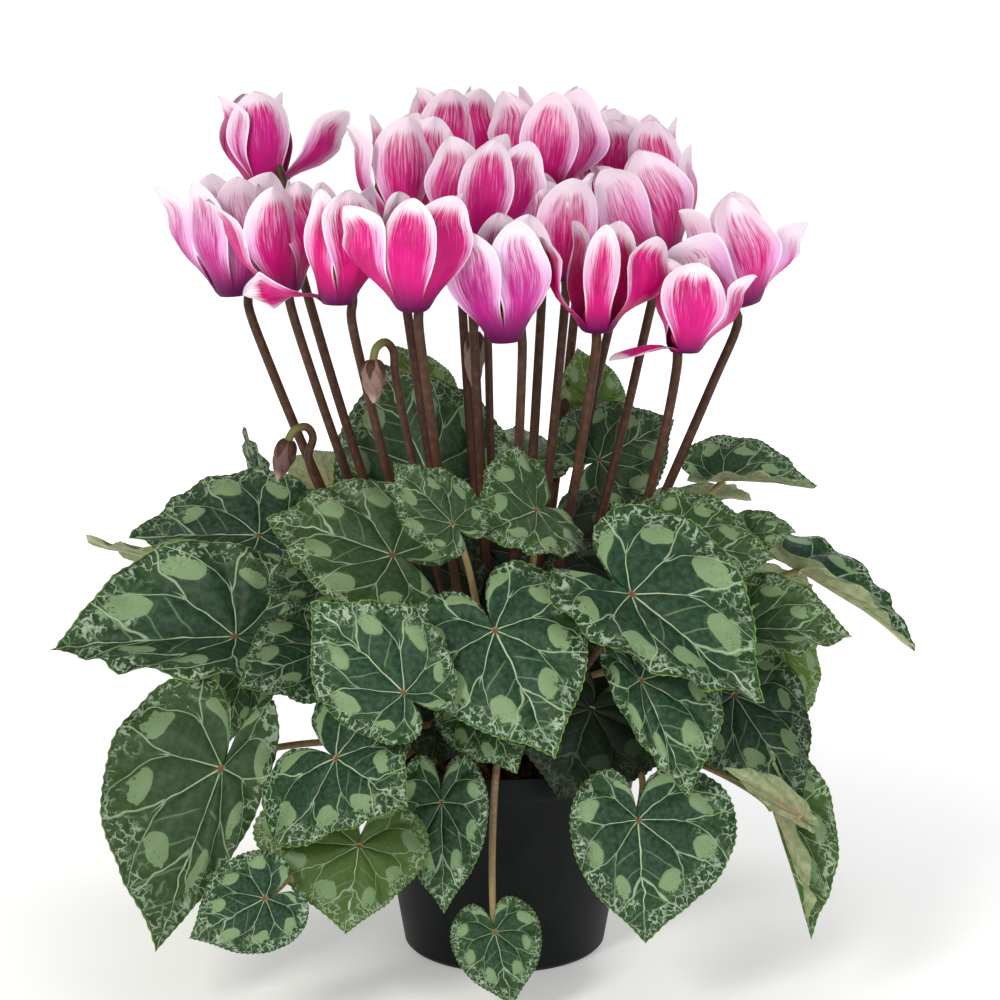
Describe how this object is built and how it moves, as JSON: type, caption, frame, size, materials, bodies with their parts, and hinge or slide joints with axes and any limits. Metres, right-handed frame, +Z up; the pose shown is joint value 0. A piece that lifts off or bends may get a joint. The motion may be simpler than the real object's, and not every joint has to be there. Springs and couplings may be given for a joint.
{
  "type": "potted cyclamen",
  "caption": "Florist's cyclamen in a plain nursery pot: heart-shaped marbled leaves in a spreading mound under upright stems of nodding, swept-back pink flowers.",
  "frame": {"origin": "centre of the pot's flat base, on the surface it stands on", "axes": "+Z up through the pot, -Y towards the plant's front, +X to the right seen from the front"},
  "size_m": [0.3756, 0.2908, 0.3715],
  "materials": {
    "pot_plastic": "charcoal injection-moulded nursery plastic, matte",
    "soil": "dark brown peaty potting soil, rough",
    "tuber_skin": "brown corky tuber skin",
    "leaf": "dark bluish-green leaf blade with silvery sage blotches and pale veins, waxy, on an olive-brown stalk",
    "flower": "magenta-pink petals with white margins on a reddish-brown stem, soft satin",
    "bud": "grey-purple closed bud with a pale pink tip on a reddish-brown stalk"
  },
  "bodies": {
    "root": {"pot": "pot_plastic", "soil": "soil", "tuber": "tuber_skin", "leaf_01": "leaf", "leaf_02": "leaf", "leaf_03": "leaf", "leaf_04": "leaf", "leaf_05": "leaf", "leaf_06": "leaf", "leaf_07": "leaf", "leaf_08": "leaf", "leaf_09": "leaf", "leaf_10": "leaf", "leaf_11": "leaf", "leaf_12": "leaf", "leaf_13": "leaf", "leaf_14": "leaf", "leaf_15": "leaf", "leaf_16": "leaf", "leaf_17": "leaf", "leaf_18": "leaf", "leaf_19": "leaf", "leaf_20": "leaf", "leaf_21": "leaf", "leaf_22": "leaf", "leaf_23": "leaf", "leaf_24": "leaf", "leaf_25": "leaf", "leaf_26": "leaf", "leaf_27": "leaf", "leaf_28": "leaf", "leaf_29": "leaf", "leaf_30": "leaf", "leaf_31": "leaf", "leaf_32": "leaf", "leaf_33": "leaf", "leaf_34": "leaf", "leaf_35": "leaf", "leaf_36": "leaf", "flower_01": "flower", "flower_02": "flower", "flower_03": "flower", "flower_04": "flower", "flower_05": "flower", "flower_06": "flower", "flower_07": "flower", "flower_08": "flower", "flower_09": "flower", "flower_10": "flower", "flower_11": "flower", "flower_12": "flower", "flower_13": "flower", "flower_14": "flower", "flower_15": "flower", "flower_16": "flower", "flower_17": "flower", "bud_1": "bud", "bud_2": "bud", "bud_3": "bud", "bud_4": "bud"}
  },
  "joints": []
}
